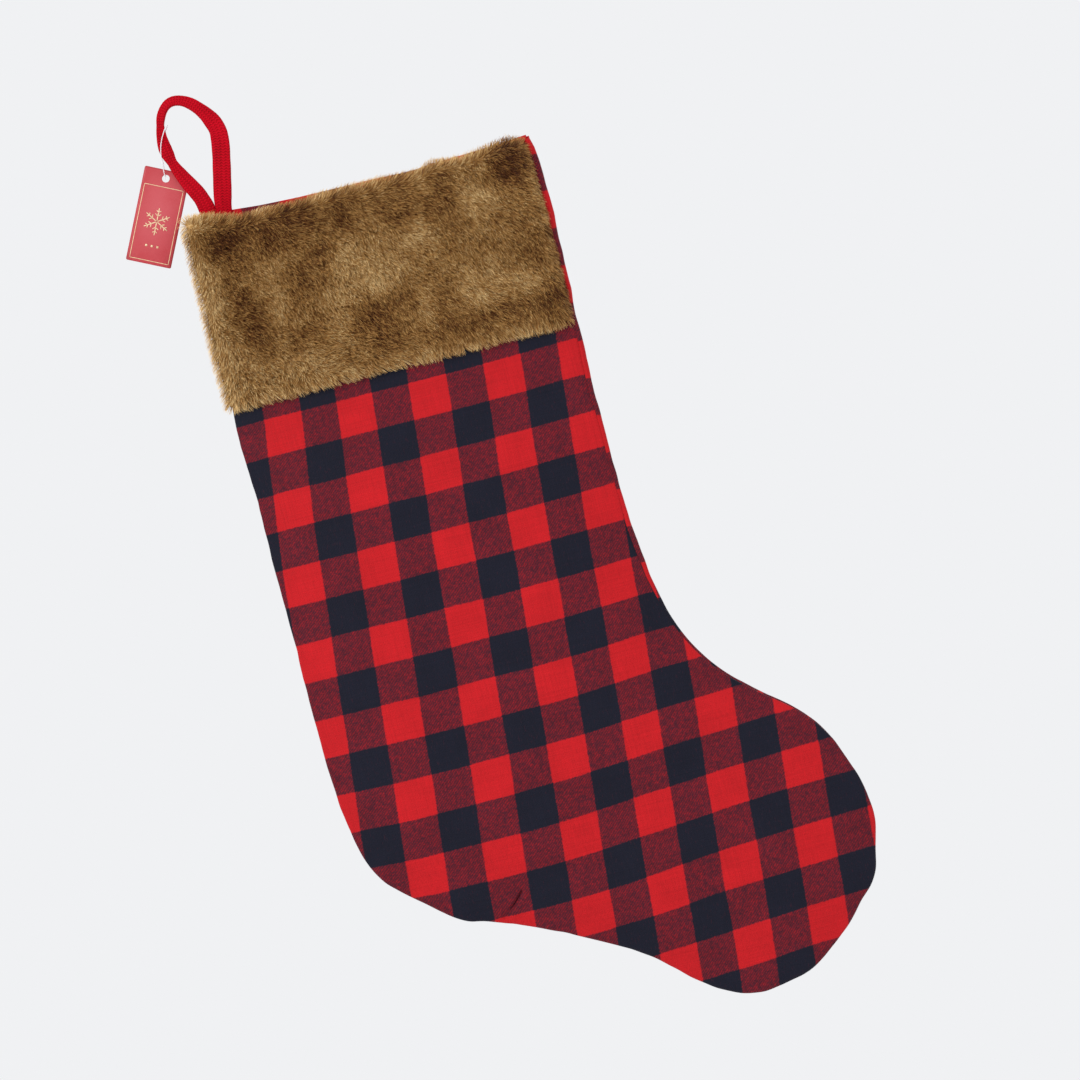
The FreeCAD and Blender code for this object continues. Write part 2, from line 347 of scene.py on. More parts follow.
def flannel(name, warp_centre, weft_centre, slant, pulled=False):
    """Brushed twill with red and navy bands both ways. slant is the warp's, off the seams."""
    n = Nodes(name)
    place = n.place()
    soft = n.noise(place, 22.0, 1.0, out=1)
    fuzz = n.noise(place, 900.0, 2.0, out=1)
    right = n.scaled(n.axis(place, 0), 1000.0, -CORNER_X)
    down = n.scaled(n.axis(place, 2), -1000.0, CORNER_Z)
    right = n.swing(n.axis(soft, 0), STRAY, right)
    down = n.swing(n.axis(soft, 2), STRAY, down)
    across = n.scaled(down, slant, right)
    if pulled:
        columns, rows = pull(n, right, down)
        across, down = n.less(across, columns), n.less(down, rows)
    across = n.swing(n.axis(fuzz, 0), FUZZ, across)
    down = n.swing(n.axis(fuzz, 2), FUZZ, down)
    bands = []
    for value, centre in ((across, warp_centre), (down, weft_centre)):
        # 20 bands are added, because PINGPONG needs a value above 0
        off = n.math("PINGPONG", n.less(value, centre - 20 * BAND), BAND)
        bands.append(n.between(off, BAND / 2 + SOFT_EDGE, BAND / 2 - SOFT_EDGE))
    warp, weft = bands
    red_warp, red_weft = n.less(1.0, warp), n.less(1.0, weft)
    not_navy = n.less(1.0, n.times(warp, weft))
    both_red = n.times(red_weft, red_warp)

    # where the two bands differ, the red yarn shows in narrow slanting rows
    twill = n.math("DIVIDE", n.plus(across, down), 4 * YARN)
    wave = n.swing(n.noise(place, 1000.0, 2.0), 0.85, n.math("PINGPONG", twill, 0.5))
    weft_shows = n.times(n.between(wave, 0.24, 0.08), red_weft)
    warp_shows = n.times(n.between(wave, 0.26, 0.42), red_warp)
    mottle = n.between(n.noise(place, 560.0, 3.0), 0.34, 0.66)
    mottle = n.scaled(mottle, 0.75, 0.63)
    mixed = n.scaled(n.plus(weft_shows, warp_shows), 0.21, 0.165)
    mixed = n.times(n.times(mixed, mottle), not_navy)
    reds = n.plus(n.times(mixed, n.less(1.0, both_red)), both_red)
    colour = n.mix(n.times(reds, not_navy), NAVY, RED)

    # single yarns differ a little, and the nap lies over them in short fibres
    streak = n.grain(place, (2600.0, 2600.0, 30.0), 1.0)
    cross_streak = n.grain(place, (30.0, 30.0, 2600.0), 1.0)
    nap = n.grain(place, (1500.0, 1500.0, 700.0), 3.0)
    worn = n.noise(place, 60.0, 3.0)
    light = n.between(n.plus(n.plus(streak, cross_streak), n.plus(nap, worn)), 1.5, 2.5)
    shade = n.ramp(light, (0.0, (0.84, 0.84, 0.84)), (1.0, (1.16, 1.16, 1.16)))
    colour = n.mix(1.0, colour, shade, "MULTIPLY")
    fibre = n.between(n.grain(place, (1900.0, 1900.0, 420.0), 2.0), 0.60, 0.74)
    colour = n.mix(n.times(fibre, 0.035), colour, (0.42, 0.03, 0.04))
    height = n.plus(n.times(n.between(wave, 0.15, 0.35), 0.5), nap)
    return n.finish(colour, n.between(nap, -0.6, 1.1),
                    Normal=n.bump(height, 0.4, 0.0002), Specular_IOR_Level=0.08,
                    Sheen_Weight=0.02, Sheen_Roughness=0.6, Sheen_Tint=(1.0, 0.7, 0.7))


def fur_material():
    """Plush strands. The strand layer holds how far up the strand a point is, and its tone."""
    n = Nodes("fur_strands")
    strand = n.add("ShaderNodeUVMap", uv_map="strand")
    fine = n.noise(n.place(), 700.0, 2.0)
    tone = n.swing(fine, 0.22, n.axis(strand, 1))
    colour = n.ramp(tone, (0.0, (0.036, 0.0084, 0.0022)), (0.15, (0.080, 0.0210, 0.0050)),
                    (0.32, (0.200, 0.081, 0.0200)), (0.5, (0.370, 0.184, 0.0515)),
                    (0.78, (0.535, 0.316, 0.110)), (1.0, (0.80, 0.59, 0.29)))
    # painted shade and light along each strand: darker towards its root, where the pile shades it,
    # paler at its tip
    shade = n.ramp(n.axis(strand, 0), (0.0, (0.62, 0.55, 0.48)), (0.5, (0.87, 0.85, 0.82)),
                   (1.0, (1.12, 1.12, 1.12)))
    colour = n.mix(1.0, colour, shade, "MULTIPLY")
    return n.finish(colour, n.between(fine, -1.1, 1.7), Specular_IOR_Level=0.14,
                    Sheen_Weight=0.02, Sheen_Roughness=0.5, Sheen_Tint=(1.0, 0.85, 0.6))


def knit_material():
    """Knitted tape. The knit layer holds the place across and along it, in wales and stitches."""
    n = Nodes("tape_knit")
    knit = n.add("ShaderNodeUVMap", uv_map="knit")
    side = n.math("PINGPONG", n.axis(knit, 0), 0.5)
    slope = n.math("FRACT", n.scaled(side, 1.1, n.axis(knit, 1)))
    loop = n.math("PINGPONG", slope, 0.5)
    noise = n.grain(knit, (6.0, 3.0, 1.0), 3.0)
    yarn = n.grain(knit, (4.0, 26.0, 1.0), 1.0)
    uneven = n.grain(knit, (0.45, 0.12, 1.0), 2.0)
    height = n.plus(n.times(loop, 1.8), n.plus(n.times(side, 0.5), n.times(yarn, 0.4)))
    height = n.plus(height, n.scaled(uneven, 0.9, -0.5))
    # painted shade in the knit's hollows and a painted highlight on its raised loops: the colour
    # follows the height
    light = n.between(n.plus(height, n.times(noise, 0.9)), 0.35, 1.9)
    colour = n.ramp(light, (0.0, (0.12, 0.0003, 0.0025)), (0.45, (0.36, 0.0009, 0.0068)),
                    (1.0, (0.56, 0.0026, 0.0145)))
    return n.finish(colour, n.between(noise, -1.6, 1.2),
                    Normal=n.bump(height, 0.6, 0.0003), Specular_IOR_Level=0.06)


def two_tone(name, scale, detail, low, high, rough, bump=None, **inputs):
    """A material whose colour goes from low to high with a fine noise."""
    n = Nodes(name)
    noise = n.grain(n.place(), scale, detail)
    if bump:
        inputs["Normal"] = n.bump(noise, *bump)
    return n.finish(n.ramp(noise, (0.3, low), (0.7, high)), n.between(noise, *rough), **inputs)


def card_material():
    """Printed card: a red with a painted highlight that pales its middle, over a fine print grain.
    """
    n = Nodes("printed_card")
    card = n.add("ShaderNodeUVMap", uv_map="card")
    # painted highlight: the card is paler towards its middle and darker towards its edges
    middle = n.add("ShaderNodeVectorMath", {0: card, 1: (0.5, 0.45, 0.0)}, out=1,
                   operation="DISTANCE")
    mottle = n.noise(n.place(), 120.0, 4.0)
    grain = n.noise(n.place(), 3500.0, 1.0)
    value = n.swing(mottle, 0.35, middle)
    colour = n.ramp(value, (0.05, (0.46, 0.058, 0.070)), (0.55, (0.40, 0.025, 0.034)),
                    (0.8, (0.30, 0.0145, 0.021)))
    colour = n.mix(n.times(n.between(grain, 0.55, 0.75), 0.10), colour, (0.75, 0.30, 0.30))
    return n.finish(colour, n.between(mottle, -0.4, 1.5),
                    Normal=n.bump(grain, 0.12, 0.00004), Specular_IOR_Level=0.4)


def floor_material():
    n = Nodes("pale_floor")
    colour = n.ramp(n.noise(n.place(), 3.0, 3.0), (0.3, (0.80, 0.805, 0.81)),
                    (0.7, (0.84, 0.845, 0.85)))
    return n.finish(colour, 0.8)


FRONT_FLANNEL = flannel("front_flannel", 92.5, 179.1, 0.0975, pulled=True)
BACK_FLANNEL = flannel("back_flannel", 0.0, 21.8, 0.0)
FUR = fur_material()
KNIT = knit_material()
CARD = card_material()
# twisted sewing thread, clear nylon with faint drawn lines, and pale gold print
THREAD = two_tone("sewing_thread", (3000, 3000, 900), 2, (0.10, 0.006, 0.012), (0.30, 0.02, 0.035),
                  (-0.6, 1.4), (0.5, 0.0001), Sheen_Weight=0.1)
NYLON = two_tone("clear_nylon", (2500, 2500, 300), 2, (0.74, 0.75, 0.78), (0.82, 0.83, 0.86),
                 (-0.6, 2.2), (0.1, 0.00003), Transmission_Weight=0.25, IOR=1.45)
FOIL = two_tone("gold_print", (900, 900, 900), 3, (0.62, 0.40, 0.22), (0.85, 0.66, 0.42),
                (-0.5, 1.6), Metallic=0.3)


def make_floor():
    side, near, far, z = 2.4, -2.6, 0.9, -0.85
    points = np.array([(-side, near, z), (side, near, z), (side, far, z), (-side, far, z)])
    floor = make("floor", points, [(0, 1, 2, 3)], floor_material(), None, body=None, raw=True)


make_floor()

# ---- hanging loop
TAPE_ROUTE = [
    (20.8, -12), (20.6, 0), (23.7, 13.8), (27, 28.4), (28.5, 36.5), (28.8, 43.6), (24.4, 52.8),
    (16.4, 61.4), (7.4, 63.4), (0.9, 56.6), (-1.2, 44.5), (0.6, 32.5), (6, 20.5), (11.6, 10.4),
    (13.6, 0), (13.4, -12),
]
# half the tape's width, and its twist in degrees, by the share of its length from the right end
TAPE_WIDTHS = [(0, 3.8), (0.06, 4.2), (0.12, 4.7), (0.24, 4.8), (0.32, 4.65), (0.375, 4.3),
               (0.42, 3.5), (0.49, 3.1), (0.55, 2.7), (0.60, 2.15), (0.64, 2.8), (0.672, 3.5),
               (0.695, 3.5), (0.725, 2.8), (0.765, 3.5), (0.81, 4), (0.86, 4.3), (0.92, 4.4),
               (1, 3.8)]
TAPE_TWIST = [(0, 0), (0.33, 0), (0.40, 10), (0.49, 26), (0.56, 30), (0.61, 4), (0.66, -20),
              (0.72, -24), (0.79, -6), (0.90, -14), (1, -8)]
WALES = 4                # columns of stitches on each face
STITCH = 1.45            # length of a stitch
TAPE_HALF_THICK = 0.85


def smooth_line(name, points, closed=False):
    """The points of a NURBS line with these control points, as Blender draws it."""
    curve = bpy.data.curves.new(name, "CURVE")
    curve.dimensions = "3D"
    spline = curve.splines.new("NURBS")
    if closed:
        points = points[:-1]
    spline.points.add(len(points) - 1)
    for point, place in zip(spline.points, points):
        point.co = (*place, 1)
    spline.order_u = 3
    spline.use_endpoint_u = not closed
    spline.use_cyclic_u = closed
    spline.resolution_u = 32
    holder = bpy.data.objects.new(name, curve)
    mesh = bpy.data.meshes.new_from_object(holder)
    line = np.array([v.co for v in mesh.vertices])
    if closed:
        line = np.concatenate([line, line[:1]])
    bpy.data.meshes.remove(mesh)
    bpy.data.objects.remove(holder)
    return line


def spaced(line, step):
    """The line again with even steps, and each point's distance along it."""
    along = np.concatenate([[0], np.cumsum(np.linalg.norm(np.diff(line, axis=0), axis=1))])
    at = np.linspace(0, along[-1], int(round(along[-1] / step)) + 1)
    return cols(*(np.interp(at, along, column) for column in line.T)), at


def make_tape():
    route = row([(right, up, 0.0) for right, up in TAPE_ROUTE])
    line, along = spaced(smooth_line("tape_line", route) / MM, 0.27)
    way = unit(np.gradient(line, along, axis=0))
    share = along / along[-1]
    half = np.interp(share, *zip(*TAPE_WIDTHS)) + 0.12 * wander(along, 0 * along, 5.0, 3)
    twist = np.radians(np.interp(share, *zip(*TAPE_TWIST)))
    flat = cols(way[:, 2], 0 * along, -way[:, 0])
    depth = np.array((0.0, 1.0, 0.0))
    cos, sin = np.cos(twist)[:, None], np.sin(twist)[:, None]
    wide, thick = flat * cos + depth * sin, depth * cos - flat * sin
    turn = np.radians(np.linspace(-90, 90, 29)[:-1])
    rings, uv = [], []
    for side in (1, -1):
        a = np.sin(turn) * side
        rim = np.sqrt(1 - np.abs(a) ** 5)
        wale = (a + 1) / 2 * WALES
        q = np.abs(wale % 1 - 0.5) * 2
        for i in range(len(a)):
            stitch = (along / STITCH + 0.45 * q[i]) % 1
            lobe = 0.26 * (1 - q[i] ** 2) + 0.26 * (1 - (2 * stitch - 1) ** 2)
            rough = 0.05 * wander(along, 0 * along + i, 2.0, 5)
            lift = (TAPE_HALF_THICK + lobe) * rim[i] + rough
            rings.append(line + wide * (half * a[i])[:, None] + thick * (side * lift)[:, None])
            uv.append(cols(0 * along + wale[i] + (WALES if side < 0 else 0), along / STITCH))
    around = len(rings)
    points = np.stack(rings, axis=1).reshape(-1, 3)
    pairs = np.stack(uv, axis=1).reshape(-1, 2)
    faces = grid_faces(len(line), around, close=True) + end_faces(len(points), around)
    tape = make("knitted_tape", points * MM, faces, KNIT, "tape", body=None, uv=("knit", pairs),
                raw=True)
    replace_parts(tape, "hanging_loop", "loop_tails")
    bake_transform(tape)


make_tape()

# ---- the stocking's two panels
EDGE_IN = 0.5            # the cloth's middle is half its thickness inside the outline
CLOTH = 1.0
FRONT_HIGH, BACK_HIGH = 7.5, 4.5
# how far the side seam has rolled round to the front on the right side, by height
ROLL = [(-345, 0), (-300, 0.4), (-262, 0.9), (-240, 1.9), (-217, 2.7), (-192, 1.5), (-160, 1.9),
        (-125, 2.7), (-106, 2.3), (-96, 1.3), (-80, 2.1), (-60, 3), (-40, 3.6), (-15, 3.6),
        (-5, 3), (0, 2.6)]
# how far the right and left edges bulge out, by height
RIGHT_BULGE = [(-200, 0), (-150, 0.3), (-134, 0.3), (-118, 1.2), (-98, 0.6), (-84, 1.8),
               (-68, 1.7), (-56, 1.8), (-44, 2.4), (-32, 2), (-16, 1.5), (-8, 0.7), (-3, -0.7),
               (0, -1.6)]
LEFT_BULGE = [(-246, 0), (-232, -0.6), (-218, 0), (-165, 0), (-152, -0.8), (-141, 0.4),
              (-121, 1.5), (-106, 0.9), (-96, 0)]
# the mouth's edge sags between its corners (right, up)
MOUTH_EDGE = [(-5, 0.4), (0, 0.4), (25, -0.7), (40, -2), (60, -2.9), (80, -3.3), (100, -3.6),
              (116, -4.3), (124, -4.3), (134, -3.4), (150, -3.1), (170, -2.3), (186, -1.4)]
GROOVE, GROOVE_WIDE = 1.1, 0.55
FRONT_EDGE, BACK_EDGE = 2.2, 1.8       # radii of the cloth's edges
RINGS = [0.05, 0.2, 0.45, 0.8, 1.3, 2.0, 3.0, 4.4, 6.2]    # lines of points inside the outline
NET, NET_START = 2.0, 8.2              # the lattice's gap, and how far in from the outline it is
NET_LOW, NET_HIGH = (-2.0, -470.0), (276.0, 0.0)
TOP_STEP = 1.6


def side_line():
    """Even points of the smoothed outline, the ways into the cloth, and the distances along."""
    p = np.array(OUTLINE)
    mid = (p[:-1] + p[1:]) / 2
    line = [p[0], mid[0]]
    for start, corner, end in zip(mid, p[1:-1], mid[1:]):
        for t in np.linspace(0, 1, 25)[1:]:
            line.append((1 - t) ** 2 * start + 2 * t * (1 - t) * corner + t * t * end)
    line.append(p[-1])
    line, along = spaced(np.array(line), 1.5)
    way = unit(np.gradient(line, along, axis=0))
    inward = cols(-way[:, 1], way[:, 0])
    wobble = waves(along, 0 * along, (0.30, 17, 11), (0.16, 7, 12))
    on_right = np.arange(len(line)) > len(line) // 2
    bulge = np.where(on_right, np.interp(line[:, 1], *zip(*RIGHT_BULGE)),
                     np.interp(line[:, 1], *zip(*LEFT_BULGE)))
    line = line + inward * (EDGE_IN + wobble - bulge)[:, None]
    return line, inward, along


SIDE, INWARD, ALONG = side_line()
RIGHT_SIDE = np.arange(len(SIDE)) > int(np.argmax(SIDE[:, 0]))
SEAM_ROLL = np.where(RIGHT_SIDE, np.interp(SIDE[:, 1], *zip(*ROLL)), 0.0)
SIDE_TREE = tree_of(SIDE)


def within_side(points):
    """How far inside the outline each point is, and the outline point nearest to it."""
    near = nearest(SIDE_TREE, points)
    return ((np.asarray(points)[:, :2] - SIDE[near]) * INWARD[near]).sum(1), near


def from_side(points):
    """Each point's distance from the outline to either side, and the outline point nearest."""
    off, near = within_side(points)
    return np.abs(off), near


def arc(off, rounding):
    """The distance over the rounded edge, from the outline to a point this far in from it."""
    off = np.maximum(off, 0)
    bend = np.arccos(1 - np.minimum(off, rounding) / rounding) * rounding
    return bend + np.maximum(off - rounding, 0)


def sink(points, out, off, near, rounding, seam_arc):
    """Moves points near the seam into the body, and returns them with their new height."""
    depth = GROOVE * np.exp(-np.maximum(seam_arc, 0) / GROOVE_WIDE)
    sideways = 1 - np.minimum(np.maximum(off, 0), rounding) / rounding
    facing = np.sqrt(1 - sideways * sideways)
    moved = points + INWARD[near] * (sideways * depth)[:, None]
    return moved, out - facing * depth


def rise(off, high, rounding=FRONT_EDGE):
    """How far the cloth's middle stands out from the seam's plane, by distance from the outline."""
    off = np.maximum(off, 0)
    near = 1 - np.minimum(off, rounding) / rounding
    low = rounding * np.sqrt(1 - near * near)
    slow = 1 - np.exp(-(np.maximum(off - rounding, 0) / 22) ** 1.3)
    return low + (high - rounding) * slow


def ripple(right, up, off, near, seed):
    """Low waves of cloth that lies loose, and puckers along the seam."""
    loose = waves(right, up, (0.55, 62, seed), (0.28, 27, seed + 1), (0.10, 9, seed + 2))
    along = ALONG[near]
    pucker = 0.55 * wander(along, 0 * along, 8.5, seed + 3)
    pucker *= np.exp(-off / 6) * (1 - np.exp(-off / 1.2))
    return loose * (1 - np.exp(-off / 9)) + pucker


CREASE_START, CREASE_END = np.array((82.2, -382.4)), np.array((70.8, -392.4))
CREASE_LENGTH = float(np.linalg.norm(CREASE_END - CREASE_START))
CREASE_WAY = (CREASE_END - CREASE_START) / CREASE_LENGTH
CREASE_SIDE = np.array((-CREASE_WAY[1], CREASE_WAY[0]))


def crease(right, up):
    """A short soft fold above the sole."""
    place = cols(right, up) - CREASE_START
    along, off = place @ CREASE_WAY, place @ CREASE_SIDE
    off = off - 0.8 * np.sin(along / 6.0)
    beyond = np.maximum(np.abs(along - CREASE_LENGTH / 2) - CREASE_LENGTH / 2, 0)
    wide = 0.7 + 0.05 * np.clip(along, 0, CREASE_LENGTH)
    fall = -1.9 * np.exp(-(off / wide) ** 2 - (beyond / 2.0) ** 2)
    return fall + 0.9 * np.exp(-((off - 2.6) / 2.0) ** 2 - (beyond / 4) ** 2)


def crease_net():
    """Extra points close together about the fold."""
    along, off = np.meshgrid(np.arange(-6, CREASE_LENGTH + 6, 0.8), np.arange(-4, 6, 0.45))
    return CREASE_START + along.reshape(-1, 1) * CREASE_WAY + off.reshape(-1, 1) * CREASE_SIDE


def front_out(right, up, off, near):
    """How far the front panel's middle stands out towards the viewer."""
    return rise(off, FRONT_HIGH) + ripple(right, up, off, near, 20) + crease(right, up)


def back_out(right, up, off, near):
    return rise(off, BACK_HIGH, BACK_EDGE) + 0.7 * ripple(right, up, off, near, 40)


def mouth_up(right):
    return np.interp(right, *zip(*MOUTH_EDGE))


def filled(border, extra):
    """Triangles over a closed border, using the extra points inside it."""
    every = np.concatenate([border, extra])
    points, _, faces, *_ = delaunay_2d_cdt([Vector(p) for p in every], [],
                                           [list(range(len(border)))], 1, 1e-6)
    return np.array([tuple(p) for p in points]), [tuple(f) for f in faces]


def solid(piece, thickness, offset=0.0):
    modifier = piece.modifiers.new("cloth", "SOLIDIFY")
    modifier.thickness = thickness * MM
    modifier.offset = offset
    modifier.use_even_offset = False
    return piece


FRONT_TOP = -96.5        # the front panel ends under the pile
SEAM_GAP = 0.15          # each panel's edge is this far from the seam's plane


def make_front():
    keep = SIDE[:, 1] < FRONT_TOP - 0.4
    seam = SIDE + INWARD * SEAM_ROLL[:, None]
    left, right = seam[keep][0, 0], seam[keep][-1, 0]
    count = int((right - left) / TOP_STEP)
    top = cols(np.linspace(right, left, count), np.full(count, FRONT_TOP))
    rings = np.concatenate([(seam + INWARD * s)[keep] for s in RINGS])
    inner = np.concatenate([lattice(NET_LOW, (NET_HIGH[0], FRONT_TOP - 1.0), NET), crease_net()])
    off, near = within_side(inner)
    inner = inner[off > NET_START + SEAM_ROLL[near]]
    points, faces = filled(np.concatenate([seam[keep], top]), np.concatenate([rings, inner]))
    off, near = from_side(points)
    out = front_out(*points.T, off, near)
    seam_arc = arc(off, FRONT_EDGE) - arc(SEAM_ROLL[near], FRONT_EDGE)
    # its top edge dips under the pile
    out -= 2.2 * np.clip((points[:, 1] - (FRONT_TOP - 3.0)) / 3.0, 0, 1) ** 2
    points, out = sink(points, out, off, near, FRONT_EDGE, seam_arc)
    cloth = cols(points, SEAM_Y - SEAM_GAP - out)
    piece = make("front_cloth", cloth, faced(cloth, faces, -1), FRONT_FLANNEL, "flannel")
    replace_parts(piece, "front_panel")
    return solid(piece, CLOTH)


HEM, HEM_SEAM = 15.0, 12.0             # how far the hem and its stitches are below the mouth
HEM_TURN = 0.55          # radius of the fold at the mouth
HEM_UNDER = 1.12         # the hem's middle lies this far under the panel's


def make_back():
    low = SIDE[:, 1] < mouth_up(SIDE[:, 0]) - 0.4
    start, end = SIDE[0], SIDE[-1]
    r = np.linspace(end[0], start[0], int((end[0] - start[0]) / TOP_STEP))
    border = np.concatenate([SIDE[low], cols(r, mouth_up(r))])
    rings = np.concatenate([(SIDE + INWARD * s)[low] for s in RINGS])
    below_top = cols(r[3:-3], mouth_up(r[3:-3]) - 0.8)
    inner = lattice(NET_LOW, NET_HIGH, NET)
    off, _ = within_side(inner)
    inner = inner[(off > NET_START) & (inner[:, 1] < mouth_up(inner[:, 0]) - 1.9)]
    points, faces = filled(border, np.concatenate([rings, below_top, inner]))
    off, near = from_side(points)
    out = back_out(*points.T, off, near)
    seam_arc = arc(off, BACK_EDGE) + arc(SEAM_ROLL[near], FRONT_EDGE)
    points, out = sink(points, out, off, near, BACK_EDGE, seam_arc)
    cloth = cols(points, SEAM_Y + SEAM_GAP + out)
    faces = faced(cloth, faces, 1)

    # the edge that comes round to the front as far as the seam
    rolled = np.where(low & (SEAM_ROLL > 0.02))[0]
    roll = SEAM_ROLL[rolled]
    shares = [0.0, 0.02, 0.08, 0.2, 0.4, 0.65, 0.85, 1.0]
    wrap = []
    for part in shares:
        off = roll * part
        seam_arc = arc(roll, FRONT_EDGE) - arc(off, FRONT_EDGE)
        place, out = sink(SIDE[rolled] + INWARD[rolled] * off[:, None], rise(off, FRONT_HIGH),
                          off, rolled, FRONT_EDGE, seam_arc)
        wrap.append(cols(place, SEAM_Y + SEAM_GAP * (1 - 2 * part) - out))
    faces += grid_faces(len(shares), len(rolled), start=len(cloth))

    # the hem folded in at the mouth
    r = np.linspace(start[0] + 1.5, end[0] - 1.0, 116)
    top = mouth_up(r)
    off, near = from_side(cols(r, top))
    edge_y = SEAM_Y + back_out(r, top, off, near)
    fold = []
    for turn in np.radians([0, 45, 90, 135, 180]):
        fold.append(cols(r, top + HEM_TURN * np.sin(turn),
                         edge_y - HEM_TURN * (1 - np.cos(turn))))
    for drop in (1.5, 4.0, 7.0, 10.0, 13.0, HEM):
        off, near = from_side(cols(r, top - drop))
        out = back_out(r, top - drop, off, near) - HEM_UNDER
        fold.append(cols(r, top - drop, SEAM_Y + np.maximum(out, 0.2)))
    every = np.concatenate([cloth, *wrap, *fold])
    faces += grid_faces(len(fold), len(r), start=len(every) - len(fold) * len(r))
    piece = make("back_cloth", every, faces, BACK_FLANNEL, "flannel")
    merge(piece, 0.02)
    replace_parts(piece, "back_panel")
    return solid(piece, CLOTH)


def merge(piece, near):
    """Joins points that lie together and turns every face outward."""
    mesh = bmesh.new()
    mesh.from_mesh(piece.data)
    bmesh.ops.remove_doubles(mesh, verts=mesh.verts, dist=near * MM)
    bmesh.ops.recalc_face_normals(mesh, faces=mesh.faces)
    mesh.to_mesh(piece.data)
    mesh.free()


front = make_front()
back = make_back()

# ---- fur cuff
PILE = 5.2               # length of a strand
STRAND_HALF = 0.105      # half its width
STRAND_GAP, RIM_GAP = 0.46, 0.42       # gaps between strands, and between the rim's extra ones
ROOT_DEPTH = 3.6         # the plush's thick foot, over the backing
SHORT_OF_SEAM = 2.7      # where the foot ends beside the right seam
BACKING = 1.2            # thickness of its backing cloth
# upper edge of the pile's backing (right, up)
CUFF_TOP = [(-2, -1.3), (10, -2.4), (18, -4.8), (28, -7.8), (44, -7.8), (54, -8.2), (70, -7.6),
            (84, -7.3), (100, -7.5), (108, -7.4), (116, -8.4), (124, -8.6), (132, -5.6),
            (140, -7), (149, -7.6), (157, -6.2), (165, -4.6), (170, -4.3), (175, -4.6),
            (179, -5.6), (184, -9)]
# its left edge, beside the side seam (up, right)
CUFF_LEFT = [(-100, -0.7), (-90, -0.8), (-76, -1.1), (-60, -1), (-40, -0.4), (-20, -0.5),
             (-12, -0.1), (0, 0.4)]
# patches where the pile lies flat, with painted shade, or stands up, with a painted sheen:
# (right, up, half width, half height, strength)
PILE_AND_PAINTED_LIGHT_PATCHES = [
    (22, -14, 15, 8, -1.3), (57, -13, 14, 6, -0.8), (42, -25, 10, 5, -0.6), (17, -43, 7, 17, -0.9),
    (22, -66, 10, 10, -0.6), (53, -43, 8, 12, -0.5), (64, -34, 5, 9, -0.5), (80, -23, 5, 6, -0.7),
    (88, -12, 9, 6, -0.5), (114, -12, 7, 6, -0.7), (104, -26, 9, 5, -0.35),
    (130, -26, 11, 6, -0.5), (134, -13, 6, 6, -0.3), (170, -12, 8, 9, -1.5),
    (168, -45, 7, 24, -0.5), (92, -68, 13, 9, -0.9), (80, -78, 8, 6, -0.6), (126, -72, 7, 6, -0.5),
    (136, -88, 12, 6, -0.8), (110, -88, 12, 5, -0.5), (88, -89, 10, 6, -0.7),
    (168, -88, 13, 7, -0.8), (50, -72, 9, 8, -0.3), (110, -50, 7, 5, -0.15),
    (134, -50, 7, 6, -0.15), (178, -72, 7, 14, -0.35), (2, -45, 7, 45, 0.85),
    (32, -90, 28, 8, 0.35), (77, -37, 6, 9, 0.7), (92, -54, 10, 6, 0.8), (115, -38, 8, 6, 0.5),
    (150, -27, 9, 8, 0.7), (137, -74, 9, 7, 0.75), (66, -62, 5, 14, 0.45), (38, -50, 5, 11, 0.4),
    (108, -65, 6, 8, 0.4), (155, -68, 14, 8, 0.25), (45, -33, 8, 5, 0.2), (140, -44, 8, 5, 0.3),
    (72, -10, 3, 7, 0.5), (98, -12, 6, 4, 0.2), (35, -6, 30, 2.5, 0.5), (120, -5, 45, 2, 0.4),
    (123, -15, 5, 8, 0.35),
]
COMB = math.radians(-44)  # the pile lies down and to the right


def cuff_right(up):
    """The cuff's right edge, on the rolled seam."""
    k = np.argsort(SIDE[RIGHT_SIDE][:, 1])
    edge = (SIDE + INWARD * (SEAM_ROLL + SHORT_OF_SEAM)[:, None])[RIGHT_SIDE][k]
    return np.interp(up, edge[:, 1], edge[:, 0])


def cuff_left(up):
    return np.interp(up, *zip(*CUFF_LEFT))


def cuff_top(right):
    return np.interp(right, *zip(*CUFF_TOP))


def rim_distances(right, up):
    """Distances inside the cuff's left, right, top and bottom edges, and the least of them."""
    four = (right - cuff_left(up), cuff_right(up) - right, cuff_top(right) - up, up - CUFF_FOOT)
    return four, np.min(four, axis=0)


def foot_out(right, up):
    """How far out the pile's foot lies, from the seam's plane."""
    off, _ = from_side(cols(right, up))
    _, rim = rim_distances(right, up)
    crown = np.sqrt(1 - (1 - np.clip(rim, 0, 5.0) / 5.0) ** 2)
    uneven = waves(right, up, (0.14, 3.1, 61), (0.05, 1.7, 62), (0.45, 34, 63), (0.35, 13, 64))
    return rise(off + 0.4, FRONT_HIGH) + 0.7 + (ROOT_DEPTH + uneven) * crown


def brushing_with_painted_light(right, up):
    """How the pile is brushed: about -1 where it lies flat, with painted shade, 1 where raised,
    with a painted sheen.
    """
    shift_r = right + waves(right, up, (2.4, 10, 84), (1, 3.2, 88))
    shift_u = up + waves(right, up, (2.4, 10, 85), (1, 3.2, 89))
    total = waves(right, up, (0.20, 15, 81), (0.20, 6.5, 82), (0.16, 2.6, 87))
    for r, u, wide, high, strength in PILE_AND_PAINTED_LIGHT_PATCHES:
        away = ((shift_r - r) / wide) ** 2 + ((shift_u - u) / high) ** 2
        total = total + 0.85 * strength * np.exp(-away * 0.65)
    return np.clip(total, -1.4, 1.2)


# a middle tone, with painted shade where the pile lies flat and a painted sheen where it stands up
def tone_with_painted_light(brushed):
    return 0.575 + 0.44 * brushed


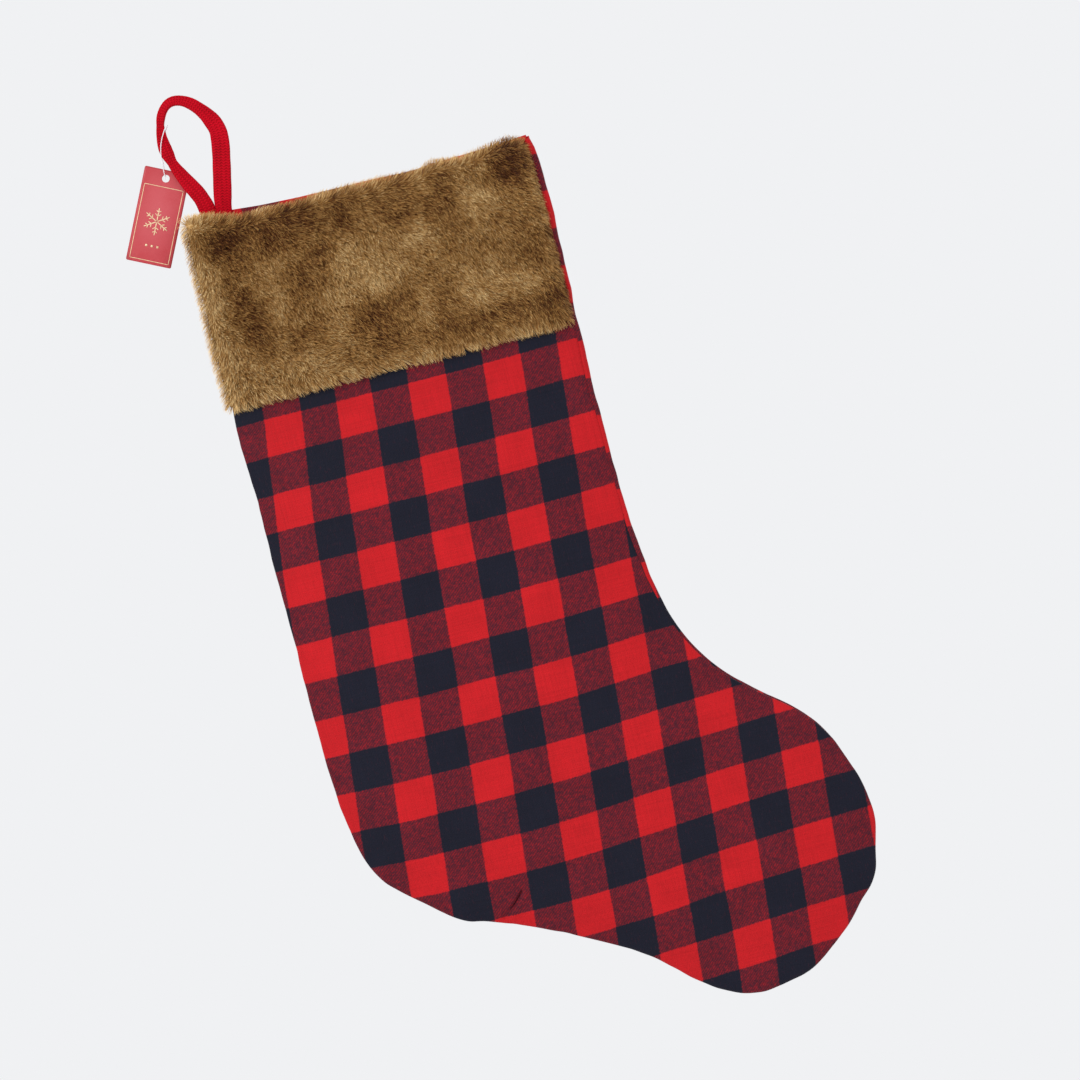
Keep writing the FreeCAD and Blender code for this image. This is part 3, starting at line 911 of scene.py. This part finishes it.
def make_cuff_base():
    edges = np.array([0, 0.12, 0.35, 0.7, 1.2, 1.9, 2.8, 3.9, 5.2])
    wide, high = 184.0, 96.0
    steps = np.concatenate([edges, np.arange(6.6, wide - 6, 1.15), wide - edges[::-1]]) / wide
    rows = np.concatenate([edges, np.arange(6.6, high - 6, 1.15), high - edges[::-1]]) / high
    across, drop = (a.ravel() for a in np.meshgrid(steps, rows))
    level = CUFF_FOOT * drop
    right = cuff_left(level) + (cuff_right(level) - cuff_left(level)) * across
    up = cuff_top(right) * (1 - drop) + CUFF_FOOT * drop
    out = foot_out(right, up)
    fleck = 0.12 * random.uniform(-1, 1, len(right))
    # the backing takes the pile's painted shade and sheen from the brushing
    tone = np.clip(tone_with_painted_light(brushing_with_painted_light(right, up)) + fleck - 0.04, 0, 1)
    # its place 0.45 up a strand gives the backing part of the strands' painted root shade
    sheet = cols(right, up, out, 0.45 + 0.15 * wander(right, up, 1.3, 70), tone)
    sheet = sheet.reshape(len(rows), len(steps), 5)

    # its two sides turn down to the seam
    share = np.array((0.65, 0.3, 0.0))
    ends = []
    for side, reach, low in ((0, 1.7, -0.1), (-1, 2.3, 1.0)):
        end = np.repeat(sheet[:, [side]], len(share), axis=1)
        end[:, :, 0] += reach * (1 - share) ** 2
        end[:, :, 2] = low + (end[:, :, 2] - low) * share
        ends.append(end)
    sheet = np.concatenate([ends[0][:, ::-1], sheet, ends[1]], axis=1)
    points = sheet.reshape(-1, 5)[:, :3] * (1, 1, -1) + (0, 0, SEAM_Y)
    faces = faced(points, grid_faces(*sheet.shape[:2]), -1)
    base = make("fur_backing", points, faces, FUR, "fur",
                uv=("strand", sheet.reshape(-1, 5)[:, 3:]))
    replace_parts(base, "fur_cuff")
    return solid(base, BACKING, -1.0)


def turned(vectors, axes, angles):
    """The vectors turned about axes at right angles to them."""
    return vectors * np.cos(angles)[:, None] + np.cross(axes, vectors) * np.sin(angles)[:, None]


def strand_roots():
    """Where the strands stand (right, up), and which are extra ones along the cuff's rim."""
    box = (-3.0, CUFF_FOOT), (MOUTH, 0.0)
    roots = jittered(*box, STRAND_GAP, 0.5)
    rim_roots = jittered(*box, RIM_GAP, 0.5)
    _, rim = rim_distances(*rim_roots.T)
    places = np.concatenate([roots, rim_roots[rim < 1.6]])
    on_rim = np.arange(len(places)) >= len(roots)
    _, rim = rim_distances(*places.T)
    return places[rim > 0], on_rim[rim > 0]


def bunched(places, low, high, gap, numbers):
    """The centre each strand leans to with its neighbours, and its bunch's random numbers."""
    centres = jittered(low, high, gap, 0.45)
    near = nearest(tree_of(centres), places)
    return centres[near], random.uniform(-1, 1, (len(centres), numbers))[near]


def combed(right, up, at_foot, scatter, curl):
    """The way each strand lies in the cuff's plane."""
    azimuth = COMB - 0.45 * np.clip((right - 110) / 70, 0, 1) + scatter + 0.8 * curl * at_foot
    azimuth += waves(right, up, (0.40, 19, 83), (0.22, 7, 86))
    lay = cols(np.cos(azimuth), np.sin(azimuth))
    # strands beside an edge fan out over it: (way out, reach, strength)
    fans = (((-1, -0.5), 3.0, 1.35), ((0.6, -0.5), 2.5, 0.8), ((0, 1), 2.2, 2.4),
            ((0.1, -1), 3.0, 0.8))
    for distance, (way, reach, strength) in zip(rim_distances(right, up)[0], fans):
        lay += np.array(way) * (strength * np.exp(-np.maximum(distance, 0) / reach))[:, None]
    return unit(lay)


def make_strands():
    places, on_rim = strand_roots()
    right, up = places.T
    count = len(places)
    zeros = np.zeros(count)
    tuft, tuft_random = bunched(places, (-2.0, CUFF_FOOT - 2), (190.0, 3.0), 1.5, 4)
    own = random.uniform(-1, 1, (count, 6))
    # wisps are bigger bunches that curl along the cuff's foot
    wisp, wisp_random = bunched(places, (-2.0, CUFF_FOOT - 3), (190.0, CUFF_FOOT + 14), 3.0, 2)

    brushed = brushing_with_painted_light(right, up)
    out = (foot_out(right, up) - 0.3) * np.where(on_rim, random.uniform(0.15, 1.0, count), 1.0)
    step = 0.4
    slope_r = (foot_out(right + step, up) - foot_out(right - step, up)) / (2 * step)
    slope_u = (foot_out(right, up + step) - foot_out(right, up - step)) / (2 * step)
    normal = unit(cols(-slope_r, -slope_u, zeros + 0.8))

    # which way each strand lies, how far it is pushed over and how long it is
    (left, _, top, bottom), rim = rim_distances(right, up)
    at_foot = np.exp(-np.maximum(bottom, 0) / 6.0) * np.where(right < 135, 1.0, 0.5)
    lay = combed(right, up, at_foot, 0.12 * tuft_random[:, 0] + 0.42 * own[:, 0],
                 wisp_random[:, 0])
    flat = cols(lay, zeros)
    flat = unit(flat - normal * (flat * normal).sum(1)[:, None])
    lean = np.radians(48 - 9 * brushed + 3 * tuft_random[:, 1] + 9 * own[:, 1])
    length = PILE * (1 + 0.06 * tuft_random[:, 2] + 0.14 * own[:, 2])
    length *= 1 + 0.05 * np.exp(-np.maximum(rim, 0) / 2.0)
    length *= 1 + 0.45 * np.exp(-(((right - 173) / 6.0) ** 2 + ((up + 3) / 3.0) ** 2))

    # its points, from root to tip
    drawn = 0.12 * (tuft - places) + (0.36 * at_foot)[:, None] * (wisp - places)
    drawn = cols(drawn, zeros)
    stations = (0.0, 0.4, 0.75, 1.0)
    place = cols(places, out)
    spine = [place]
    for a, b in zip(stations, stations[1:]):
        angle = lean * (0.40 + 0.90 * (a + b) / 2)
        way = normal * np.cos(angle)[:, None] + flat * np.sin(angle)[:, None]
        place = place + way * (length * (b - a))[:, None] + drawn * (b * b - a * a)
        spine.append(place)
    last = unit(spine[-1] - spine[0])
    wide = turned(unit(np.cross(last, normal)), last, 0.9 * own[:, 3])
    half = STRAND_HALF * (1 + 0.3 * own[:, 4])
    # the brushing gives each strand its painted shade and sheen; tufts and strands add tones of
    # their own
    tone = tone_with_painted_light(brushed) + 0.06 * tuft_random[:, 3] + 0.35 * own[:, 5]
    fringe = np.exp(-np.minimum(np.minimum(left, top), bottom) / 2.5)
    tone = np.clip(tone + 0.20 * fringe, 0.02, 0.98)

    # a strand is a blade of two quads and a tip: (station, side)
    blade = ((0, -1), (0, 1), (1, -1), (1, 1), (2, -0.75), (2, 0.75), (3, 0))
    points = np.stack([spine[k] + wide * (side * half)[:, None] for k, side in blade], axis=1)
    points[:, :, 2] = SEAM_Y - points[:, :, 2]
    pairs = np.stack([cols(zeros + stations[k], tone) for k, _ in blade], axis=1)
    pieces = []
    for number, chosen in enumerate(np.array_split(np.argsort(right), 4)):
        start = np.arange(len(chosen))[:, None] * len(blade)
        quads = np.concatenate([start + [0, 1, 3, 2], start + [2, 3, 5, 4]])
        tips = start + [4, 5, 6]
        pieces.append(make("fur_pile_%d" % (number + 1), points[chosen].reshape(-1, 3),
                           quads.tolist() + tips.tolist(), FUR, "fur",
                           uv=("strand", pairs[chosen].reshape(-1, 2))))
    return pieces


cuff = make_cuff_base()
pile = make_strands()

# ---- stitches
def tube(path, radius, around=6):
    """Points and faces of a closed tube along points (right, up, y)."""
    way = unit(np.gradient(np.asarray(path, float), axis=0))
    a = unit(np.cross(way, (0.31, 0.22, 0.93)))
    b = np.cross(way, a)
    radius = np.broadcast_to(radius, len(path))[:, None]
    rings = [path + (a * math.cos(t) + b * math.sin(t)) * radius
             for t in np.linspace(0, 2 * math.pi, around, endpoint=False)]
    points = np.stack(rings, axis=1).reshape(-1, 3)
    return points, grid_faces(len(path), around, close=True) + end_faces(len(points), around)


def joined(parts):
    points, faces, start = [], [], 0
    for p, f in parts:
        points.append(p)
        faces += [tuple(i + start for i in face) for face in f]
        start += len(p)
    return np.concatenate(points), faces


def stitch(a, b, lift, radius):
    """One stitch from a to b that rises by lift in its middle."""
    path = np.linspace(a, b, 6)
    path[:, 2] += lift * (1 - 1.6 * np.linspace(-1, 1, 6) ** 4)
    return tube(path, radius * np.array([0.7, 0.95, 1.0, 1.0, 0.95, 0.7]))


def side_seam():
    """Stitches deep in the groove between the two panels, from one to the other."""
    parts = []
    sewn = np.where((SIDE[:, 1] < -2) & ~(RIGHT_SIDE & (SIDE[:, 1] > -98)))[0]
    place, out = sink(SIDE + INWARD * SEAM_ROLL[:, None], rise(SEAM_ROLL, FRONT_HIGH), SEAM_ROLL,
                      np.arange(len(SIDE)), FRONT_EDGE, np.zeros(len(SIDE)))
    for i in sewn[1:-1:2]:
        facing = min(SEAM_ROLL[i] / FRONT_EDGE, 1.0)
        across = INWARD[i] * 0.55 * facing
        deep = 0.55 * (1 - facing)
        parts.append(stitch((*(place[i] + across), SEAM_Y - out[i] - deep),
                            (*(place[i + 1] - across), SEAM_Y - out[i] + deep), 0.0, 0.17))
    return parts


def run_across(starts, size, up_at, out_at, side, above, lift):
    """Stitches in a row across a panel that lies to this side of the seam's plane, along y."""
    parts = []
    for start in starts:
        right = np.array((start, start + size))
        up = up_at(right)
        out = out_at(right, up, *from_side(cols(right, up))) + above
        parts.append(stitch(*cols(right, up, SEAM_Y + side * out), side * lift, 0.2))
    return parts


def bar_tack():
    """Close satin stitches up and down across both ends of the tape."""
    parts = []
    left, right, low, high, y = 9.6, 23.8, -8.3, -5.7, -1.35
    for r in np.arange(left, right, 0.42):
        shift = random.uniform(-0.1, 0.1)
        parts.append(stitch((r, low + shift, y), (r + 0.25, high + shift, y), -0.35, 0.19))
    return parts


def sewn_piece(name, parts):
    return make(name, *joined(parts), THREAD, "thread")


cuff_seam = run_across(np.arange(6.0, 178.0, 3.0), 2.4, lambda right: 0 * right + CUFF_FOOT,
                       front_out, -1, 0.3, 0.3)
hem = run_across(np.arange(6.0, 179.0, 3.1), 2.5, lambda right: mouth_up(right) - HEM_SEAM,
                 back_out, 1, CLOTH / 2 - 0.1, 0.28)
side_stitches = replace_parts(sewn_piece("side_stitches", side_seam()), "side_seam_thread")
cuff_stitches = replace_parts(sewn_piece("cuff_stitches", cuff_seam), "cuff_seam_thread")
hem_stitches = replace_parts(sewn_piece("hem_stitches", hem), "hem_thread")
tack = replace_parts(sewn_piece("loop_tack_stitches", bar_tack()), "loop_tack")

# ---- pin and tag
TAG_HOLE, TAG_LEAN = (-4.2, 24.7), math.radians(26.4)
TAG_WIDTH, TAG_LENGTH, TAG_THICK, TAG_BACK = 24.0, 50.0, 0.45, 1.7
HOLE_FROM_TOP, HOLE = 4.5, 2.05        # the hole's middle, and its radius
PRINT_THICK, PRINT_LIFT, DOT = 0.06, 0.27, 0.55


def on_card(across, down, lift=0.0):
    """A place on the card: across and down from its hole, lifted off its front."""
    right = TAG_HOLE[0] + math.cos(TAG_LEAN) * across - math.sin(TAG_LEAN) * down
    up = TAG_HOLE[1] - math.sin(TAG_LEAN) * across - math.cos(TAG_LEAN) * down
    curl = 0.9 * (np.maximum(down, 0) / 45) ** 2 + 0.5 * (across / 12) ** 2 * (down / 45)
    return cols(right, up, TAG_BACK + curl - lift)


def make_card():
    half, top, foot, corner = TAG_WIDTH / 2, -HOLE_FROM_TOP, TAG_LENGTH - HOLE_FROM_TOP, 0.9
    x, high, low = half - corner, top + corner, foot - corner
    border = []
    for cx, cy, begin in ((x, high, -90), (x, low, 0), (-x, low, 90), (-x, high, 180)):
        for turn in np.radians(np.linspace(begin, begin + 90, 6)):
            border.append((cx + corner * math.cos(turn), cy + corner * math.sin(turn)))
    turn = np.linspace(0, 2 * math.pi, 40, endpoint=False)
    circle = cols(np.cos(turn), np.sin(turn))
    grid = [(a, d) for a in np.arange(-half + 1, half, 1.1) for d in np.arange(top + 1, foot, 1.1)
            if a * a + d * d > 9.5]
    points, faces = filled(border, np.concatenate([HOLE * circle, 2.5 * circle, grid]))
    faces = [f for f in faces if np.linalg.norm(points[list(f)].mean(0)) > 2.0]
    cloth = on_card(*points.T)
    uv = cols(points[:, 0] / TAG_WIDTH + 0.5, (points[:, 1] - top) / TAG_LENGTH)
    card = make("card_tag", cloth, faced(cloth, faces, -1), CARD, "card", body="tag",
                uv=("card", uv))
    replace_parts(card, "hang_tag")
    solid(card, TAG_THICK)


def printed_line(start, end, half, count):
    """A thin line on the card between two places, each across and down from its hole."""
    path = np.linspace(start, end, count)
    way = (path[-1] - path[0]) / np.linalg.norm(path[-1] - path[0])
    side = half * np.array((-way[1], way[0]))
    points = np.stack([path - side, path + side], axis=1).reshape(-1, 2)
    return on_card(*points.T, PRINT_LIFT), grid_faces(count, 2)


def heading(degrees):
    return np.array((math.cos(math.radians(degrees)), math.sin(math.radians(degrees))))


def make_print():
    """A plain frame line, a six-armed snowflake and three dots."""
    inset, below_hole = 1.7, 4.6
    half, foot = TAG_WIDTH / 2 - inset, TAG_LENGTH - HOLE_FROM_TOP - inset
    frame_line = [(-half, below_hole), (-half, foot), (half, foot), (half, below_hole),
                  (-half, below_hole)]
    parts = [printed_line(a, b, 0.16, 24) for a, b in zip(frame_line, frame_line[1:])]
    middle = np.array((0.0, 23.0))
    for arm in range(30, 390, 60):
        way = heading(arm)
        parts.append(printed_line(middle + way * 0.4, middle + way * 7.2, 0.26, 9))
        for along, size in ((3.0, 1.9), (5.0, 1.5)):
            for turn in (-55, 55):
                fork = middle + way * along
                parts.append(printed_line(fork, fork + heading(arm + turn) * size, 0.2, 5))
    for across in (-3, 0, 3):
        parts.append(printed_line((across, 36 - DOT), (across, 36 + DOT), DOT, 3))
    points, faces = joined(parts)
    printed = make("card_print", points, faced(points, faces, -1), FOIL, "card", body="tag")
    solid(printed, PRINT_THICK)


make_card()
make_print()

# The nylon loop's places (right, up, y): down in front of the tape, through the card, up behind it
PIN_ROUTE = [
    (4.1, 51.2, 0.2), (2.6, 50.2, -1.9), (-1.2, 44, -2.1), (-3.2, 37.5, -2), (-4, 30.5, -1.2),
    (-4.2, 25.6, 0.6), (-4.2, 23.9, 1.7), (-4.15, 25.6, 2.9), (-3.9, 31, 3), (-3, 38, 2.5),
    (-0.8, 44.4, 2.2), (2.6, 50.2, 2.1),
]
FILAMENT = 0.24          # its radius
LOCK_FROM, LOCK_TO = np.array((-2.1, 41.9, 2.9)), np.array((0.3, 45.9, 2.9))
# the lock's radius at shares of its length: a ribbed barrel
LOCK_SHAPE = [(0, 0.5), (0.02, 0.85), (0.07, 1.1), (0.2, 1.2), (0.24, 1.02), (0.28, 1.2),
              (0.44, 1.2), (0.48, 1.02), (0.52, 1.02), (0.56, 1.2), (0.72, 1.2), (0.76, 1.02),
              (0.8, 1.2), (0.93, 1.1), (0.98, 0.85), (1, 0.5)]


def make_filament():
    route = row(PIN_ROUTE + PIN_ROUTE[:1])
    line, _ = spaced(smooth_line("pin_line", route, closed=True) / MM, 0.35)
    cloth = cols(line[:, 0] - CORNER_X, line[:, 2] - CORNER_Z, line[:, 1])
    piece = make("nylon_filament", *tube(cloth, FILAMENT, 10), NYLON, "nylon", body="pin")
    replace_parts(piece, "tag_pin")


def make_lock():
    shares, radii = np.array(LOCK_SHAPE).T
    path = LOCK_FROM + (LOCK_TO - LOCK_FROM) * shares[:, None]
    piece = make("nylon_lock", *tube(path, radii, 20), NYLON, "nylon", body="pin")
    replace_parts(piece, "pin_lock")


make_filament()
make_lock()
